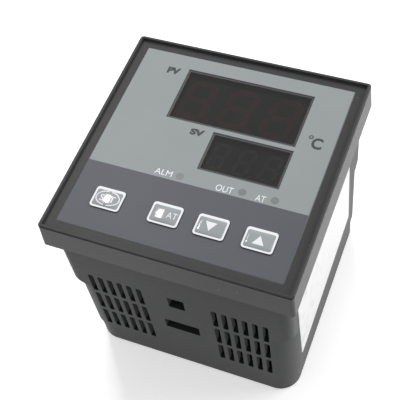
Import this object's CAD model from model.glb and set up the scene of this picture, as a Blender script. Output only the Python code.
"""Looks of the panel temperature controller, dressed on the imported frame."""

import math

import bmesh
import bpy
from mathutils import Matrix, Vector


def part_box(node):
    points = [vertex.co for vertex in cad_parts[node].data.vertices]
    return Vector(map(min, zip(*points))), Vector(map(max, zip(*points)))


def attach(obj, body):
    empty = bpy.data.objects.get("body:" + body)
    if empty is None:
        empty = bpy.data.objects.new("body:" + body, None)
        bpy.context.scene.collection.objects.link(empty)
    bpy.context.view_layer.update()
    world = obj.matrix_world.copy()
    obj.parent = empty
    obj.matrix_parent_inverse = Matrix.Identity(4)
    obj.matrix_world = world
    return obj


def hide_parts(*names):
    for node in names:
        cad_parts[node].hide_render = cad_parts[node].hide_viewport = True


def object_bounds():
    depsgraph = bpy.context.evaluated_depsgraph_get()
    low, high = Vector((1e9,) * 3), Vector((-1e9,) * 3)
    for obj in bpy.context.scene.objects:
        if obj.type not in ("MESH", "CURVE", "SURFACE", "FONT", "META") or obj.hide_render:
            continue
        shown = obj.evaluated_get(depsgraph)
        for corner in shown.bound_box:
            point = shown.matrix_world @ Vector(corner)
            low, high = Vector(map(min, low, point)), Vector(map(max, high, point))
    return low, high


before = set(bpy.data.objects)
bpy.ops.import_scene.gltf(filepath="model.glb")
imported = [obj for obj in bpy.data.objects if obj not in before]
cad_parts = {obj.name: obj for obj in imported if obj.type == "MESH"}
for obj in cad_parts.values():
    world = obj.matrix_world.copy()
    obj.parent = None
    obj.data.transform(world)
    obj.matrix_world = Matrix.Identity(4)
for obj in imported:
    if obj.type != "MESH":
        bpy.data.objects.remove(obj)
cad_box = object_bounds()

MM = 0.001               # meshes are drawn in millimetres and stored in metres
SIDES = (-1, 1)

# ---- camera and studio, in metres ----
CAMERA_PLACE = (0.07147, -0.13029, 0.2659)
CAMERA_RIGHT = (0.9262, 0.3605, -0.1102)
CAMERA_UP = (-0.2449, 0.7977, 0.5511)
CAMERA_BACK = (0.2866, -0.4835, 0.8271)
CAMERA_CLIP = 0.01
LENS = 81.30             # in millimetres, as the sensor's width is
SENSOR_WIDTH = 36.0
FLOOR_SIZE = 6.0
FLOOR_DROP = 0.0002      # the floor lies this far below the object
FLOOR_GLOW = 0.46        # what the floor adds towards the camera, so that it reads as white
WORLD_LIGHT = 0.50       # what the surroundings give to matt surfaces
LAMP_AIM = (0.0, 0.0, 0.03)
LAMPS = {                # place, side, power in watts, and whether glossy surfaces mirror it
    "key_light": ((-0.36, 0.60, 0.62), 0.35, 3.8, False),
    "side_light": ((0.66, 0.45, 0.40), 0.60, 3.9, True),
    "glint_light": ((-0.2487, 0.2453, 0.5551), 0.035, 0.32, True),
}

# ---- colours, as linear values ----
WHITE = (1.0, 1.0, 1.0)
PANEL_LIGHT = (0.298, 0.324, 0.324)
PANEL_DARK = (0.100, 0.104, 0.121)
INK_WHITE = (0.86, 0.87, 0.90)
PAPER = (0.88, 0.88, 0.88)
SMUDGE = 0.83            # a smudge's tone, as a share of the paper's
DUST = (0.30, 0.31, 0.32)
FLOOR_TONES = ((0.88, 0.88, 0.88), (0.91, 0.91, 0.91))
WINDOW_TONES = ((0.000, 0.004, 0.001), (0.015, 0.011, 0.013))
WINDOW_ALPHA = 0.62

# ---- surfaces: noise in cells to a millimetre, relief in millimetres ----
DRIFT = 0.25             # slow change of a plain material's colour
WEAR = 0.9               # and of its gloss
FINE_DETAIL = 2.0
GRAIN_BUMP = 0.35
THIN_GRAIN = 0.004
PAPER_GRAIN = 3.0
PAPER_ROUGH = (0.42, 0.56)
PAPER_BUMP = 0.3
BLOTS = 0.30
BLOT_DETAIL = 5.0
BLOT_RANGE = (0.50, 0.68)
BLOT_REACH = 0.75        # smudges fade out at this share of the label's height
FILM_DRIFT = 0.12
FILM_MOTTLE = 0.04
FILM_GRAIN = 3.0
FILM_ROUGH = 0.40
FILM_SPECULAR = 0.30
FILM_BUMP = 0.2
WINDOW_DRIFT = 0.13
WINDOW_ROUGH = 0.14
FLOOR_DRIFT = 0.02
FLOOR_ROUGH = 0.9

# Colour and finish of each plain material: grain is in cells to a millimetre, depth is the height
# of the grain in millimetres, mottle and uneven are the drift of the colour and of the roughness,
# and dust is specks' cells to a millimetre and a speck's share of its cell.
FINISHES = {
    "case": ((0.013, 0.015, 0.014),
             dict(rough=0.52, grain=4.0, depth=0.016, specular=0.13, haze=0.25)),
    "bezel": ((0.046, 0.046, 0.048),
              dict(rough=0.40, depth=0.008, specular=0.13, coat=0.15, coat_rough=0.34,
                   dust=(0.24, 0.035), haze=0.10)),
    "film_edge": ((0.080, 0.082, 0.090), dict(rough=0.40, grain=4.0, depth=0.004, mottle=0.05)),
    "parting": ((0.003, 0.003, 0.003), dict(rough=0.8, depth=0.004, specular=0.1)),
    "rim": ((0.046, 0.047, 0.046), dict(rough=0.35, grain=4.0, depth=0.003)),
    "display_face": ((0.022, 0.024, 0.022), dict(rough=0.5)),
    "pv_segments": ((0.46, 0.035, 0.07), dict(rough=0.45)),
    "sv_segments": ((0.24, 0.25, 0.22), dict(rough=0.45)),
    "key": (PANEL_DARK, dict(rough=0.32, grain=4.0, depth=0.004, mottle=0.04)),
    "key_face": ((0.320, 0.345, 0.362),
                 dict(rough=0.12, grain=1.2, depth=0.002, mottle=0.06, uneven=0.015)),
    "key_ink": (INK_WHITE, dict(rough=0.12, grain=1.2, depth=0.002, mottle=0.03, uneven=0.015)),
    "ink_dark": ((0.040, 0.045, 0.046), dict(rough=0.45, depth=0.003, mottle=0.05)),
    "ink_white": (INK_WHITE, dict(rough=0.40, depth=0.003, mottle=0.03)),
    "lamp": ((0.188, 0.202, 0.200), dict(rough=0.30, grain=4.0, depth=0.003, mottle=0.05)),
    "board": ((0.018, 0.085, 0.035), dict(rough=0.35, grain=2.0, mottle=0.22)),
    "header": ((0.022, 0.022, 0.024), dict(rough=0.5)),
    "core": ((0.16, 0.165, 0.17),
             dict(rough=0.38, grain=3.0, depth=0.02, mottle=0.15, metallic=0.9)),
    "winding": ((0.55, 0.42, 0.10), dict(grain=2.0, depth=0.02, mottle=0.12)),
    "relay": ((0.03, 0.10, 0.30), dict(rough=0.38)),
    "capacitor": ((0.02, 0.025, 0.05), dict(rough=0.35)),
    "chip": ((0.016, 0.016, 0.017), dict(rough=0.55, grain=6.0, depth=0.012)),
    "metal": ((0.62, 0.61, 0.58),
              dict(rough=0.30, grain=2.5, depth=0.006, mottle=0.08, metallic=1.0)),
    "screw": ((0.66, 0.66, 0.64),
              dict(rough=0.28, grain=2.5, depth=0.006, mottle=0.08, metallic=1.0)),
    "switch": ((0.03, 0.03, 0.032), dict(rough=0.45)),
    "plunger": ((0.05, 0.05, 0.052), dict(rough=0.40)),
}
CAD_FINISH = {
    "case": ["case_sleeve", "rear_cover"],
    "bezel": ["front_bezel"],
    "film": ["front_overlay"],
    "window": ["pv_filter", "sv_filter"],
    "display_face": ["pv_display", "sv_display"],
    "key": ["key_set", "key_at", "key_down", "key_up"],
    "switch": ["tact_switch_set", "tact_switch_at", "tact_switch_down", "tact_switch_up"],
    "plunger": ["switch_plunger_set", "switch_plunger_at", "switch_plunger_down",
                "switch_plunger_up"],
    "lamp": ["lamp_alm", "lamp_out", "lamp_at"],
    "board": ["display_board", "power_board", "signal_board"],
    "header": ["power_header", "signal_header"],
    "core": ["transformer_core"],
    "winding": ["transformer_winding"],
    "relay": ["output_relay", "alarm_relay"],
    "capacitor": ["filter_capacitor"],
    "chip": ["microcontroller", "bridge_rectifier"],
    "metal": ["crystal", "terminal_plates", "terminal_washers"],
    "screw": ["terminal_screws"],
    "label": ["side_label"],
}

# ---- edges that shade sharp, in degrees ----
SHARP = 35.0
SHARP_FACE = 60.0
SHARP_SCREW = 30.0

# ---- graphics on the front, in millimetres ----
INK = 0.03               # thickness of printed letters and marks
FONT_DEPTH = 0.5         # depth at which a word is made, before it is fitted to its box
PRINT_EDGE_Y = -11.0     # lower edge of the light panel
WORDS = {                # text, box (left, right, bottom, top), finish, and added boldness
    "pv_word": ("PV", (-22.9, -19.0, 24.3, 26.7), "ink_dark", 0.058),
    "sv_word": ("SV", (-8.0, -3.9, 5.0, 7.15), "ink_dark", 0.058),
    "degree_letter": ("C", (25.45, 28.45, 9.8, 13.6), "ink_dark", 0.030),
    "alm_word": ("ALM", (-12.35, -7.3, -10.15, -8.35), "ink_white", 0.0),
    "out_word": ("OUT", (5.57, 10.4, -10.6, -8.6), "ink_white", 0.0),
    "at_word": ("AT", (16.8, 19.5, -10.65, -8.7), "ink_white", 0.0),
}
DEGREE_PLACE = (24.82, 13.43)
DEGREE_OUTER = 0.64
DEGREE_INNER = 0.34
LAMP_DISC_R = 1.1
DISC_POINTS = 32
FILTER_LAP = 0.35        # a tinted plate reaches behind the film by this
RIM_WIDTH = 0.7          # grey border printed inside each window
RIM_CORNER = 0.05

# ---- trim of the front, in millimetres ----
TUCK = 0.01              # hidden overlap of a thin piece with what carries it
FILM_CORNER = 0.1
BEAD = 0.25              # soft edge round the printed film
BEAD_CORNER = 0.35
BEAD_FOOT = 0.08
BEZEL_DRAFT = 0.4        # each side of the bezel narrows by this towards the front
BEZEL_CORNER = 1.0
BEZEL_STEPS = 8          # mesh steps round each of its corners
LIP_CHAMFER = 0.25
LIP_HEIGHT = 0.9
PARTING_H = 0.32         # dark parting line at the foot of the lip's chamfer
PARTING_PROUD = 0.015
PARTING_SUNK = 0.1

# ---- keys, in millimetres ----
KEYS = ("set", "at", "down", "up")
KEY_FRAME_W = 8.5
KEY_FRAME_H = 6.45
KEY_FRAME_CORNER = 0.85
FRAME_TOP = 0.80         # width of a key's white frame along its upper edge
FRAME_SIDE = 0.50        # and along the other three
FRAME_RISE = 0.07        # height of the frame above the key's top
FRAME_FOOT = 0.1         # and its depth below it
FACE_W = KEY_FRAME_W - 2 * FRAME_SIDE
FACE_H = KEY_FRAME_H - FRAME_SIDE - FRAME_TOP
FACE_SHIFT = (FRAME_SIDE - FRAME_TOP) / 2
FACE_CORNER = 0.5
FACE_POINTS = 120        # mesh points round a key's face
FACE_RINGS = 24          # and rings of them from its edge to its crown
RING_SPREAD = 1.3        # above 1, the rings crowd towards the edge
DOMES = {                # crown of a key's face inside its frame, and rise of its steeper edge
    "set": (0.218, 0.09), "at": (0.218, 0.09), "down": (0.05, 0.20), "up": (0.05, 0.20),
}
DOME_SIDES = 14          # the higher, the nearer to the frame a face starts to fall, sideways
DOME_ENDS = 6            # and up and down

# ---- marks on the keys, from the middle of each key, in millimetres ----
MARK_SINK = 0.02         # a printed mark starts this far inside the face
MARK_STEP = 0.30         # longest edge of a mark that follows the face
MARK_CUTS = 4
KEY_WORDS = {            # piece, text, box (left, right, bottom, top), and added boldness
    "set": ("set_word", "SET", (-2.2, 2.25, -1.15, 0.9), 0.012),
    "at": ("at_key_word", "AT", (0.5, 3.4, -1.05, 0.88), 0.0),
}
ARROWS = {
    "at": ((-2.95, -0.15), (-0.65, -1.6), (-0.65, 1.4)),
    "down": ((-0.25, -1.45), (1.35, 1.25), (-1.85, 1.25)),
    "up": ((-0.1, 1.15), (-1.65, -1.55), (1.55, -1.55)),
}
ARROW_CUTS = 8
ARC_STARTS = {"right": -83, "left": 97}     # in degrees
ARC_SWEEP = 166
ARC_STEPS = 40
ARC_W = 3.5              # half-axes of the ellipse
ARC_H = 2.36
ARC_STROKE = 0.32

# ---- unlit figures, in millimetres ----
FIGURES = {              # pitch, width, height and stroke
    "pv": (12.7, 9.0, 14.4, 2.0),
    "sv": (7.5, 4.7, 9.1, 1.05),
}
FIGURE_SLANT = 0.13
BAR_GAP = 0.12
BAR_T = 0.04
DOT_R = 0.42             # decimal point, as shares of the stroke
DOT_OUT = 0.72
DOT_POINTS = 16

# ---- vent slots of the body, in millimetres ----
VENT_W = 1.7
VENT_L = 9.2
VENT_PITCH_X = 3.0
VENT_PITCH_Z = 10.8
VENT_COLUMNS = 6
VENT_ROWS = 3
VENT_INSET = 15.0        # side of the body to the middle of a group
VENT_FOOT = 2.3          # rear end of the body to the rear row
VENT_ROUND = 0.6
ROUND_STEPS = 6
CASE_WALL = 2.0

# ---- side label, in millimetres ----
LABEL_W = 48.5
LABEL_L = 40.3
LABEL_Y = -3.3           # its middle
LABEL_Z = 38.1
LABEL_TILT = 3.2         # stuck on a little askew, in degrees
LABEL_CORNER = 1.0

# ---- terminal screws, in millimetres ----
TERMINALS = 5
SCREW_HEAD_R = 2.8
SCREW_HEAD_H = 1.8
SCREW_R = 1.5
SCREW_CROWN = [(1.2, 0.0), (1.9, 0.10), (2.45, 0.35), (2.72, 0.75), (SCREW_HEAD_R, 1.2)]
SCREW_POINTS = 48
SCREW_SLOT = (8.0, 0.8, 1.8)


# ---- places and outlines ----

def corners(node):
    """Lowest and highest corner of a CAD node, in millimetres."""
    low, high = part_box(node)
    return low / MM, high / MM


def middle(node):
    low, high = corners(node)
    return (low + high) / 2


def circle(radius, x=0.0, y=0.0, steps=24):
    """Points round a circle, anticlockwise."""
    turns = [2 * math.pi * step / steps for step in range(steps)]
    return [(x + radius * math.cos(turn), y + radius * math.sin(turn)) for turn in turns]


def rounded(width, height, radius, x=0.0, y=0.0, steps=6):
    """Points round a rectangle with rounded corners, anticlockwise."""
    points = []
    for turn, (sx, sy) in enumerate([(1, 1), (-1, 1), (-1, -1), (1, -1)]):
        cx = x + sx * (width / 2 - radius)
        cy = y + sy * (height / 2 - radius)
        for step in range(steps + 1):
            angle = math.pi / 2 * (turn + step / steps)
            points.append((cx + radius * math.cos(angle), cy + radius * math.sin(angle)))
    return points


def evenly(points, count):
    """The same closed outline with so many points at equal steps along it."""
    loop = points + points[:1]
    runs = [math.dist(a, b) for a, b in zip(loop, loop[1:])]
    whole = sum(runs)
    placed = []
    for index in range(count):
        left = whole * index / count
        for (ax, ay), (bx, by), run in zip(loop, loop[1:], runs):
            if left <= run:
                share = left / run if run else 0.0
                placed.append((ax + (bx - ax) * share, ay + (by - ay) * share))
                break
            left -= run
    return placed


def ring(points, z):
    return [(x, y, z) for x, y in points]


# ---- meshes and pieces ----

def skin(rings, loop=False, into=None):
    """Closed skin through rings of equally many points: capped at its ends, or closed on itself."""
    mesh = bmesh.new() if into is None else into
    rows = [[mesh.verts.new(point) for point in points] for points in rings]
    pairs = list(zip(rows, rows[1:]))
    if loop:
        pairs.append((rows[-1], rows[0]))
    for low, high in pairs:
        for index in range(len(low)):
            after = (index + 1) % len(low)
            mesh.faces.new((low[index], low[after], high[after], high[index]))
    if not loop:
        mesh.faces.new(rows[0][::-1])
        mesh.faces.new(rows[-1])
    return mesh


def band(outer, inner, low, high):
    """Flat frame between two outlines, from one height to another."""
    rings = [ring(outer, low), ring(outer, high), ring(inner, high), ring(inner, low)]
    return skin(rings, loop=True)


def finish_piece(name, mesh, finish, body, sharp=SHARP):
    """Object from a mesh in metres, riding on a body."""
    mesh.materials.clear()
    mesh.materials.append(MATERIALS[finish])
    mesh.shade_smooth()
    mesh.set_sharp_from_angle(angle=math.radians(sharp))
    thing = bpy.data.objects.new(name, mesh)
    bpy.context.scene.collection.objects.link(thing)
    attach(thing, body)
    return thing


def piece(name, shape, finish, body, sharp=SHARP):
    """Object from a bmesh drawn in millimetres."""
    bmesh.ops.recalc_face_normals(shape, faces=shape.faces)
    bmesh.ops.scale(shape, vec=(MM, MM, MM), verts=shape.verts)
    mesh = bpy.data.meshes.new(name)
    shape.to_mesh(mesh)
    shape.free()
    return finish_piece(name, mesh, finish, body, sharp)


def maker_object(name, data):
    """Helper object that is only there while a mesh is worked out."""
    maker = bpy.data.objects.new(name + "_maker", data)
    bpy.context.scene.collection.objects.link(maker)
    return maker


def worked_out(maker):
    """Mesh of a helper object with its modifiers applied."""
    view = bpy.context.evaluated_depsgraph_get()
    return bpy.data.meshes.new_from_object(maker.evaluated_get(view))


def lettering(name, text, box, z, finish, body, weight=0.0):
    """Printed words that fill a box (left, right, bottom, top) at height z."""
    curve = bpy.data.curves.new(name, "FONT")
    curve.body = text
    curve.offset = weight
    curve.extrude = FONT_DEPTH
    maker = maker_object(name, curve)
    mesh = worked_out(maker)
    bpy.data.objects.remove(maker)
    mesh.name = name
    left, right, bottom, top = box
    low = Vector([min(v.co[axis] for v in mesh.vertices) for axis in range(3)])
    high = Vector([max(v.co[axis] for v in mesh.vertices) for axis in range(3)])
    size = high - low
    fit = Matrix.Diagonal(((right - left) / size.x, (top - bottom) / size.y, INK / size.z, 1.0))
    mesh.transform(Matrix.Translation((left, bottom, z)) @ fit @ Matrix.Translation(-low))
    mesh.transform(Matrix.Scale(MM, 4))
    return finish_piece(name, mesh, finish, body)


# ---- shader parts ----

def node(tree, kind, **sockets):
    """Node with inputs given as values or links, by name or as in0, in1; _name sets a property."""
    made = tree.nodes.new(kind)
    for name, value in sockets.items():
        if name.startswith("_"):
            setattr(made, name[1:], value)
    for name, value in sockets.items():
        if name.startswith("_"):
            continue
        numbered = name.startswith("in")
        socket = made.inputs[int(name[2:]) if numbered else name.replace("_", " ")]
        if isinstance(value, bpy.types.NodeSocket):
            tree.links.new(value, socket)
        else:
            socket.default_value = value
    return made


def shader(name):
    """New material, its node tree and its Principled shader."""
    made = bpy.data.materials.new(name)
    made.use_nodes = True
    tree = made.node_tree
    return made, tree, tree.nodes["Principled BSDF"]


def set_values(main, **values):
    for name, value in values.items():
        main.inputs[name.replace("_", " ")].default_value = value


def shade(colour, factor=1.0):
    return tuple(min(1.0, part * factor) for part in colour) + (1.0,)


def own_space(tree):
    return node(tree, "ShaderNodeTexCoord").outputs["Object"]


def along(tree, axis):
    """Place along one axis of the object's own space."""
    return node(tree, "ShaderNodeSeparateXYZ", Vector=own_space(tree)).outputs[axis]


def speckle(tree, per_mm, detail=3.0):
    """Noise through the object's own space, with so many cells to a millimetre."""
    noise = node(tree, "ShaderNodeTexNoise", Vector=own_space(tree), Scale=per_mm / MM,
                 Detail=detail)
    return noise.outputs["Fac"]


def mixed(tree, mask, low, high):
    """Colour that goes from one tone to another with a mask."""
    mix = node(tree, "ShaderNodeMix", _data_type="RGBA", in0=mask, in6=low, in7=high)
    return mix.outputs[2]


def ranged(tree, value, **limits):
    """A value taken from one range to another, held at the ends."""
    return node(tree, "ShaderNodeMapRange", Value=value, **limits).outputs["Result"]


def combined(tree, operation, first, second):
    """Two values or links through one Math node."""
    made = node(tree, "ShaderNodeMath", _operation=operation, in0=first, in1=second)
    return made.outputs["Value"]


def relief(tree, main, noise, strength, depth):
    """Fine bump from noise, its depth in millimetres."""
    bump = node(tree, "ShaderNodeBump", Height=noise, Strength=strength, Distance=depth * MM)
    tree.links.new(bump.outputs["Normal"], main.inputs["Normal"])


def lit_only_when_seen(tree):
    """1 for rays that come from the camera, from a mirror-like surface or through a clear one."""
    path = node(tree, "ShaderNodeLightPath").outputs
    seen = combined(tree, "MAXIMUM", path["Is Camera Ray"], path["Is Glossy Ray"])
    return combined(tree, "MAXIMUM", seen, path["Is Transmission Ray"])


# ---- materials ----

def dusted(tree, colour, per_mm, share):
    """The colour with a few pale specks."""
    cells = node(tree, "ShaderNodeTexVoronoi", Vector=own_space(tree), Scale=per_mm / MM)
    speck = combined(tree, "LESS_THAN", cells.outputs["Distance"], share)
    return mixed(tree, speck, colour, shade(DUST))


def moulded(name, colour, rough=0.42, grain=5.0, depth=0.010, mottle=0.10, metallic=0.0,
            specular=0.5, coat=0.0, coat_rough=0.3, dust=None, uneven=0.07, haze=0.0):
    """Moulded or painted surface: a little colour drift, uneven gloss and fine grain."""
    made, tree, main = shader(name)
    low, high = [shade(colour, 1.0 + drift) for drift in (-mottle, mottle)]
    tone = mixed(tree, speckle(tree, DRIFT), low, high)
    if dust:
        tone = dusted(tree, tone, *dust)
    tree.links.new(tone, main.inputs["Base Color"])
    gloss = ranged(tree, speckle(tree, WEAR), To_Min=rough - uneven, To_Max=rough + uneven)
    tree.links.new(gloss, main.inputs["Roughness"])
    relief(tree, main, speckle(tree, grain, FINE_DETAIL), GRAIN_BUMP, depth)
    set_values(main, Metallic=metallic, Specular_IOR_Level=specular, Sheen_Weight=haze,
               Coat_Weight=coat, Coat_Roughness=coat_rough)
    return made


def smudged_paper(name):
    """Blank white label: paper grain, and faint grey smudges over its lower half."""
    made, tree, main = shader(name)
    low, high = corners("side_label")
    upper = low.y + BLOT_REACH * (high.y - low.y)
    fade = ranged(tree, along(tree, "Y"), From_Min=low.y * MM, From_Max=upper * MM,
                  To_Min=1.0, To_Max=0.0)
    blots = ranged(tree, speckle(tree, BLOTS, BLOT_DETAIL), From_Min=BLOT_RANGE[0],
                   From_Max=BLOT_RANGE[1])
    mask = combined(tree, "MULTIPLY", fade, blots)
    tree.links.new(mixed(tree, mask, shade(PAPER), shade(PAPER, SMUDGE)), main.inputs["Base Color"])
    fine = speckle(tree, PAPER_GRAIN, FINE_DETAIL)
    gloss = ranged(tree, fine, To_Min=PAPER_ROUGH[0], To_Max=PAPER_ROUGH[1])
    tree.links.new(gloss, main.inputs["Roughness"])
    relief(tree, main, fine, PAPER_BUMP, THIN_GRAIN)
    return made


def printed_film(name):
    """Printed overlay: light panel above, dark key area below, satin surface."""
    made, tree, main = shader(name)
    above = combined(tree, "GREATER_THAN", along(tree, "Y"), PRINT_EDGE_Y * MM)
    drift = speckle(tree, FILM_DRIFT)
    tones = [mixed(tree, drift, shade(colour, 1.0 - FILM_MOTTLE), shade(colour, 1.0 + FILM_MOTTLE))
             for colour in (PANEL_DARK, PANEL_LIGHT)]
    tree.links.new(mixed(tree, above, *tones), main.inputs["Base Color"])
    set_values(main, Roughness=FILM_ROUGH, Specular_IOR_Level=FILM_SPECULAR)
    relief(tree, main, speckle(tree, FILM_GRAIN, FINE_DETAIL), FILM_BUMP, THIN_GRAIN)
    return made


def tinted_window(name):
    """Smoked plate that shows a little of what lies behind."""
    made, tree, main = shader(name)
    low, high = [shade(tone) for tone in WINDOW_TONES]
    drift = speckle(tree, WINDOW_DRIFT, FINE_DETAIL)
    tree.links.new(mixed(tree, drift, low, high), main.inputs["Base Color"])
    set_values(main, Roughness=WINDOW_ROUGH, Alpha=WINDOW_ALPHA)
    return made


def matt_floor(name):
    """Pale floor that reads as white and keeps the shadow."""
    made, tree, main = shader(name)
    low, high = [shade(tone) for tone in FLOOR_TONES]
    drift = speckle(tree, FLOOR_DRIFT)
    tree.links.new(mixed(tree, drift, low, high), main.inputs["Base Color"])
    set_values(main, Roughness=FLOOR_ROUGH, Specular_IOR_Level=0.0, Emission_Color=shade(WHITE))
    glow = combined(tree, "MULTIPLY", lit_only_when_seen(tree), FLOOR_GLOW)
    tree.links.new(glow, main.inputs["Emission Strength"])
    return made


MATERIALS = {name: moulded(name, colour, **look) for name, (colour, look) in FINISHES.items()}
MATERIALS["film"] = printed_film("film")
MATERIALS["window"] = tinted_window("window")
MATERIALS["label"] = smudged_paper("label")


def dress_cad_nodes():
    for finish, names in CAD_FINISH.items():
        for name in names:
            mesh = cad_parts[name].data
            mesh.materials.clear()
            mesh.materials.append(MATERIALS[finish])
            for face in mesh.polygons:
                face.material_index = 0


# ---- print and trim of the front ----

def front_legends():
    """Words, window borders, degree sign and lamp discs printed on the film and the windows."""
    z = corners("front_overlay")[1].z
    for name, (text, box, finish, weight) in WORDS.items():
        lettering(name, text, box, z, finish, "housing", weight)
    for name in FIGURES:
        low, high = corners(name + "_filter")
        at = (low + high) / 2
        width = high.x - low.x - 2 * FILTER_LAP
        height = high.y - low.y - 2 * FILTER_LAP
        outer, inner = [rounded(width - 2 * inset, height - 2 * inset, RIM_CORNER, at.x, at.y, 1)
                        for inset in (0.0, RIM_WIDTH)]
        rim = band(outer, inner, high.z, high.z + INK)
        piece(name + "_window_rim", rim, "rim", "housing")
    outer, inner = [circle(radius, *DEGREE_PLACE) for radius in (DEGREE_OUTER, DEGREE_INNER)]
    piece("degree_ring", band(outer, inner, z, z + INK), "ink_dark", "housing")
    for name in ("alm", "out", "at"):
        at = middle("lamp_" + name)
        disc = circle(LAMP_DISC_R, at.x, at.y, DISC_POINTS)
        piece("disc_" + name, skin([ring(disc, z), ring(disc, z + INK)]), "lamp", "housing")


def front_trim():
    """Soft edge of the film, and the parting line below the lip's chamfer."""
    low, high = corners("front_overlay")
    seat = corners("front_bezel")[1].z - LIP_HEIGHT
    size = high - low
    inner = rounded(size.x - 2 * TUCK, size.y - 2 * TUCK, FILM_CORNER, steps=1)
    outer = rounded(size.x + 2 * BEAD, size.y + 2 * BEAD, BEAD_CORNER, steps=1)
    bead = skin([ring(inner, high.z - TUCK), ring(inner, seat - BEAD_FOOT),
                 ring(outer, seat - TUCK), ring(outer, seat + TUCK)], loop=True)
    piece("film_bead", bead, "film_edge", "housing")
    low, high = corners("front_bezel")
    top = high.z - LIP_CHAMFER
    rings = []
    for z, inset in ((top - PARTING_H, PARTING_SUNK), (top - PARTING_H, -PARTING_PROUD),
                     (top - TUCK, -PARTING_PROUD), (top - TUCK, PARTING_SUNK)):
        side = 2 * (high.x - BEZEL_DRAFT * (z - low.z) / (top - low.z) - inset)
        rings.append(ring(rounded(side, side, BEZEL_CORNER, steps=BEZEL_STEPS), z))
    piece("parting_line", skin(rings, loop=True), "parting", "housing")


# ---- keys ----

KEY_BOXES = {key: corners("key_" + key) for key in KEYS}


def face_height(key, u, v):
    """How far a key's face stands above the key's top, u and v running from -1 to 1 across it."""
    crown, shoulder = DOMES[key]
    across = crown * (1 - u * u) + shoulder * (1 - abs(u) ** DOME_SIDES)
    return across * (1 - abs(v) ** DOME_ENDS)


def on_face(key, x, y):
    """Height of a key's face at a place."""
    low, high = KEY_BOXES[key]
    at = (low + high) / 2
    u = (x - at.x) * 2 / FACE_W
    v = (y - at.y - FACE_SHIFT) * 2 / FACE_H
    return high.z + (face_height(key, u, v) if max(abs(u), abs(v)) < 1 else 0.0)


def key_piece(name, shape, finish, key, sharp=SHARP):
    return piece(name, shape, finish, key + "_key", sharp)


def key_film(key):
    """White frame of a key, and the pillowed face inside it, highest in the middle."""
    at = middle("key_" + key)
    z = KEY_BOXES[key][1].z
    face_y = at.y + FACE_SHIFT
    outer = rounded(KEY_FRAME_W, KEY_FRAME_H, KEY_FRAME_CORNER, at.x, at.y)
    inner = rounded(FACE_W, FACE_H, FACE_CORNER, at.x, face_y)
    key_piece("key_frame_" + key, band(outer, inner, z - FRAME_FOOT, z + FRAME_RISE), "ink_white",
              key)
    outline = evenly(inner, FACE_POINTS)
    rings = [ring(outline, z)]
    for step in range(1, FACE_RINGS + 1):
        share = 1 - (step / (FACE_RINGS + 1)) ** RING_SPREAD
        points = [(at.x + (x - at.x) * share, face_y + (y - face_y) * share) for x, y in outline]
        rings.append([(x, y, on_face(key, x, y)) for x, y in points])
    key_piece("key_face_" + key, skin(rings), "key_face", key, SHARP_FACE)


def drape(thing, key):
    """Lays a flat printed mark on the crown of a key's face, cut fine enough to follow it."""
    shape = bmesh.new()
    shape.from_mesh(thing.data)
    for _ in range(MARK_CUTS):
        bmesh.ops.triangulate(shape, faces=shape.faces)
        long = [edge for edge in shape.edges if edge.calc_length() > MARK_STEP * MM]
        bmesh.ops.subdivide_edges(shape, edges=long, cuts=1)
    bmesh.ops.triangulate(shape, faces=shape.faces)
    half = (min(v.co.z for v in shape.verts) + max(v.co.z for v in shape.verts)) / 2
    for v in shape.verts:
        stands = INK if v.co.z > half else -MARK_SINK
        v.co.z = (on_face(key, v.co.x / MM, v.co.y / MM) + stands) * MM
    shape.to_mesh(thing.data)
    shape.free()


def set_arcs():
    """Two bent stripes round the word on the SET key."""
    at = middle("key_set")
    for side, start in ARC_STARTS.items():
        sections = []
        for step in range(ARC_STEPS + 1):
            turn = math.radians(start + ARC_SWEEP * step / ARC_STEPS)
            a, b = [(at.x + (ARC_W - inset) * math.cos(turn),
                     at.y + (ARC_H - inset) * math.sin(turn)) for inset in (0.0, ARC_STROKE)]
            sections.append([(*a, 0.0), (*a, INK + MARK_SINK), (*b, INK + MARK_SINK), (*b, 0.0)])
        drape(key_piece("set_arc_" + side, skin(sections), "key_ink", "set"), "set")


def arrow(key):
    """White printed triangle on a key, cut fine enough to follow the face."""
    at = middle("key_" + key)
    tips = [(at.x + x, at.y + y) for x, y in ARROWS[key]]
    last = ARROW_CUTS
    shape = bmesh.new()
    rows = []
    for level in (0.0, INK + MARK_SINK):
        grid = {}
        for i in range(last + 1):
            for j in range(last + 1 - i):
                a, b = i / last, j / last
                x, y = [p + (q - p) * a + (r - p) * b for p, q, r in zip(*tips)]
                grid[i, j] = shape.verts.new((x, y, level))
        for i in range(last):
            for j in range(last - i):
                shape.faces.new((grid[i, j], grid[i + 1, j], grid[i, j + 1]))
                if i + j < last - 1:
                    shape.faces.new((grid[i + 1, j], grid[i + 1, j + 1], grid[i, j + 1]))
        rows.append(grid)
    border = [(i, 0) for i in range(last)]
    border += [(last - i, i) for i in range(last)]
    border += [(0, last - i) for i in range(last)]
    for a, b in zip(border, border[1:] + border[:1]):
        shape.faces.new((rows[0][a], rows[0][b], rows[1][b], rows[1][a]))
    drape(key_piece(key + "_arrow", shape, "key_ink", key), key)


def keys():
    for key in KEYS:
        key_film(key)
    set_arcs()
    for key in KEYS:
        if key in ARROWS:
            arrow(key)
        if key in KEY_WORDS:
            name, text, (left, right, bottom, top), weight = KEY_WORDS[key]
            at = middle("key_" + key)
            box = (at.x + left, at.x + right, at.y + bottom, at.y + top)
            drape(lettering(name, text, box, 0.0, "key_ink", key + "_key", weight), key)


# ---- seven-segment displays ----

def bar(x, y, half, stroke):
    """Six-sided bar lying along x."""
    t = stroke / 2
    return [(x - half, y), (x - half + t, y - t), (x + half - t, y - t),
            (x + half, y), (x + half - t, y + t), (x - half + t, y + t)]


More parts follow.
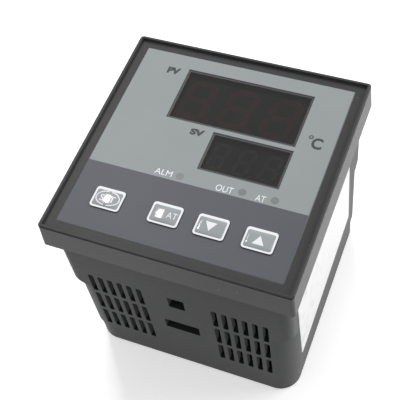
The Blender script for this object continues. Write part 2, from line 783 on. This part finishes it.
def digit_bars(width, height, stroke):
    """The seven bars of a figure eight about the origin."""
    across = width / 2 - stroke / 2 - BAR_GAP
    up = height / 4 - stroke / 4 - BAR_GAP
    rows = (height - stroke) / 2
    bars = [bar(0.0, y, across, stroke) for y in (-rows, 0.0, rows)]
    for side in SIDES:
        for row in SIDES:
            x = side * (width - stroke) / 2
            y = row * rows / 2
            bars.append([(x - py, y + px) for px, py in bar(0.0, 0.0, up, stroke)])
    return bars


def display(name, pitch, width, height, stroke):
    """Three figures and their points on the face of a display module."""
    at = middle(name + "_display")
    z = corners(name + "_display")[1].z
    dot_r = stroke * DOT_R
    outlines = digit_bars(width, height, stroke)
    dot_x = width / 2 + stroke * DOT_OUT
    outlines.append(circle(dot_r, dot_x, -height / 2 + dot_r, DOT_POINTS))
    shape = bmesh.new()
    for place in (-1, 0, 1):
        for outline in outlines:
            moved = [(at.x + place * pitch + x + FIGURE_SLANT * y - stroke / 3, at.y + y)
                     for x, y in outline]
            skin([ring(moved, z), ring(moved, z + BAR_T)], into=shape)
    piece(name + "_display_segments", shape, name + "_segments", "housing")


# ---- rounded corners of the vent slots ----

def corner_wedge(shape, x, y, z, sx, sz, depth):
    """Wedge that rounds the corner at x, z of a slot in the upper or lower wall."""
    turns = [math.pi / 2 * step / ROUND_STEPS for step in range(ROUND_STEPS + 1)]
    centre_x = x - sx * VENT_ROUND
    centre_z = z - sz * VENT_ROUND
    outline = [(x, z)] + [(centre_x + sx * VENT_ROUND * math.cos(turn),
                           centre_z + sz * VENT_ROUND * math.sin(turn)) for turn in turns]
    skin([[(px, level, pz) for px, pz in outline] for level in (y, y + depth)], into=shape)


def vent_corners():
    low, high = corners("case_sleeve")
    rear_row = low.z + VENT_FOOT + VENT_L / 2
    rows = [rear_row + row * VENT_PITCH_Z for row in range(VENT_ROWS)]
    columns = [side * (high.x - VENT_INSET) + (column - (VENT_COLUMNS - 1) / 2) * VENT_PITCH_X
               for side in SIDES for column in range(VENT_COLUMNS)]
    slots = [(face, x, z) for face in SIDES for x in columns for z in rows]
    shape = bmesh.new()
    for face, x, z in slots:
        for sx in SIDES:
            for sz in SIDES:
                corner_wedge(shape, x + sx * VENT_W / 2, face * high.y, z + sz * VENT_L / 2,
                             sx, sz, -face * CASE_WALL)
    piece("vent_corners", shape, "case", "housing")


# ---- side label ----

def label_sheet():
    """Blank paper label on the right side, stuck on a little askew."""
    low, high = corners("side_label")
    turn = math.radians(LABEL_TILT)
    outline = [(LABEL_Y + y * math.cos(turn) - z * math.sin(turn),
                LABEL_Z + y * math.sin(turn) + z * math.cos(turn))
               for y, z in rounded(LABEL_W, LABEL_L, LABEL_CORNER)]
    rings = [[(x, y, z) for y, z in outline] for x in (low.x, high.x)]
    label = piece("label_sheet", skin(rings), "label", "housing")
    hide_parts("side_label")


# ---- terminal screws ----

def slotted_screw(low, high):
    """Mesh of one slotted pan-head screw that stands between two heights, in millimetres."""
    seat = low + SCREW_HEAD_H
    profile = [(r, low + rise) for r, rise in SCREW_CROWN]
    profile += [(SCREW_HEAD_R, seat), (SCREW_R, seat), (SCREW_R, high)]
    screw = skin([ring(circle(r, steps=SCREW_POINTS), z) for r, z in profile])
    bmesh.ops.recalc_face_normals(screw, faces=screw.faces)
    slot = bmesh.new()
    bmesh.ops.create_cube(slot, size=1.0)
    bmesh.ops.scale(slot, vec=SCREW_SLOT, verts=slot.verts)
    bmesh.ops.translate(slot, vec=(0.0, 0.0, low), verts=slot.verts)
    makers = []
    for name, shape in (("screw", screw), ("slot", slot)):
        mesh = bpy.data.meshes.new(name)
        shape.to_mesh(mesh)
        shape.free()
        makers.append(maker_object(name, mesh))
    cut = makers[0].modifiers.new("slot", "BOOLEAN")
    cut.object = makers[1]
    cut.solver = "EXACT"
    slotted = worked_out(makers[0])
    for maker in makers:
        bpy.data.objects.remove(maker)
    return slotted


def pan_screws():
    """Slotted pan-head screws with rounded heads, in place of the plain ones."""
    low, high = corners("terminal_screws")
    pitch = (high.y - low.y - 2 * SCREW_HEAD_R) / (TERMINALS - 1)
    slotted = slotted_screw(low.z, high.z)
    shape = bmesh.new()
    for x in (low.x + SCREW_HEAD_R, high.x - SCREW_HEAD_R):
        for row in range(TERMINALS):
            placed = slotted.copy()
            y = low.y + SCREW_HEAD_R + row * pitch
            placed.transform(Matrix.Translation((x, y, 0.0)))
            shape.from_mesh(placed)
            bpy.data.meshes.remove(placed)
    screws = piece("pan_screws", shape, "screw", "housing", SHARP_SCREW)
    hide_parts("terminal_screws")


# ---- floor, light and camera ----

def surroundings():
    """World that lights softly and is seen as white."""
    world = bpy.data.worlds.new("studio")
    bpy.context.scene.world = world
    world.use_nodes = True
    tree = world.node_tree
    tree.nodes.clear()
    soft, white = [node(tree, "ShaderNodeBackground", Color=shade(WHITE), Strength=strength)
                   for strength in (WORLD_LIGHT, 1.0)]
    blend = node(tree, "ShaderNodeMixShader", Fac=lit_only_when_seen(tree),
                 in1=soft.outputs["Background"], in2=white.outputs["Background"])
    node(tree, "ShaderNodeOutputWorld", Surface=blend.outputs["Shader"])


def lamps():
    for name, (place, size, power, mirrored) in LAMPS.items():
        lamp = bpy.data.lights.new(name, "AREA")
        lamp.shape = "SQUARE"
        lamp.size = size
        lamp.energy = power
        holder = bpy.data.objects.new(name, lamp)
        bpy.context.scene.collection.objects.link(holder)
        holder.location = place
        aim = Vector(LAMP_AIM) - holder.location
        holder.rotation_euler = aim.to_track_quat("-Z", "Y").to_euler()
        holder.visible_glossy = mirrored


def floor_plane():
    half = FLOOR_SIZE / 2
    z = cad_box[0].z - FLOOR_DROP
    mesh = bpy.data.meshes.new("floor")
    mesh.from_pydata([(-half, -half, z), (half, -half, z), (half, half, z), (-half, half, z)],
                     [], [(0, 1, 2, 3)])
    mesh.materials.append(matt_floor("floor"))
    floor = bpy.data.objects.new("floor", mesh)
    bpy.context.scene.collection.objects.link(floor)


def camera():
    scene = bpy.context.scene
    eye = bpy.data.cameras.new("camera")
    eye.lens = LENS
    eye.sensor_width = SENSOR_WIDTH
    eye.clip_start = CAMERA_CLIP
    stand = bpy.data.objects.new("camera", eye)
    scene.collection.objects.link(stand)
    turn = Matrix((CAMERA_RIGHT, CAMERA_UP, CAMERA_BACK)).transposed().to_4x4()
    stand.matrix_world = Matrix.Translation(CAMERA_PLACE) @ turn
    scene.camera = stand
    scene.view_settings.view_transform = "Standard"


surroundings()
lamps()
floor_plane()
camera()
dress_cad_nodes()
front_legends()
front_trim()
keys()
for figures, sizes in FIGURES.items():
    display(figures, *sizes)
vent_corners()
label_sheet()
pan_screws()
